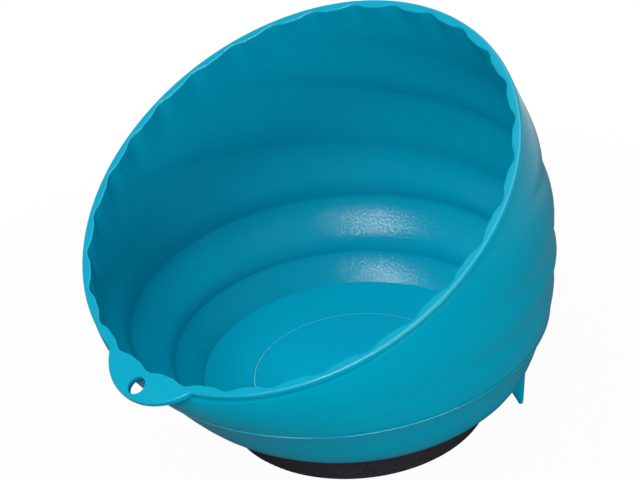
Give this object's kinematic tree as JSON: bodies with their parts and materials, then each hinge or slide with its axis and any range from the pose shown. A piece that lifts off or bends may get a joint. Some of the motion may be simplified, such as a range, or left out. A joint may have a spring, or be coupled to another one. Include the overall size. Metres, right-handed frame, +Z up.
{
  "type": "magnetic parts tray",
  "caption": "Deep round parts bowl with a slanted scalloped mouth and a hanging tab, standing on a rubber-covered magnet foot",
  "frame": {"origin": "centre of the magnet foot's flat lower face", "axes": "+Z up along the foot's axis, -Y towards the hanging tab, +Y towards the high side of the bowl; the YZ plane is the mirror plane"},
  "size_m": [0.151, 0.1569, 0.1261],
  "materials": {
    "bowl_plastic": "petrol blue moulded plastic, glossy outside, finely eroded inside",
    "cover_plastic": "petrol blue plastic disc, bare",
    "adhesive_film": "double-sided film",
    "zinc_plated_steel": "zinc plated",
    "bush_steel": "turned and zinc plated",
    "yoke_steel": "stamped sheet steel",
    "magnet_plating": "nickel plated",
    "black_rubber": "fine matt grain"
  },
  "bodies": {
    "root": {"bowl": "bowl_plastic", "floor_cover": "cover_plastic", "cover_adhesive": "adhesive_film", "fixing_screw": "zinc_plated_steel", "threaded_bush": "bush_steel", "yoke_plate": "yoke_steel", "rubber_boot": "black_rubber", "magnet_1": "magnet_plating", "magnet_2": "magnet_plating", "magnet_3": "magnet_plating", "magnet_4": "magnet_plating", "magnet_5": "magnet_plating", "magnet_6": "magnet_plating", "magnet_7": "magnet_plating", "magnet_8": "magnet_plating", "magnet_9": "magnet_plating", "magnet_10": "magnet_plating", "magnet_11": "magnet_plating", "magnet_12": "magnet_plating", "magnet_13": "magnet_plating", "magnet_14": "magnet_plating", "magnet_15": "magnet_plating", "magnet_16": "magnet_plating", "magnet_17": "magnet_plating", "magnet_18": "magnet_plating"}
  },
  "joints": []
}
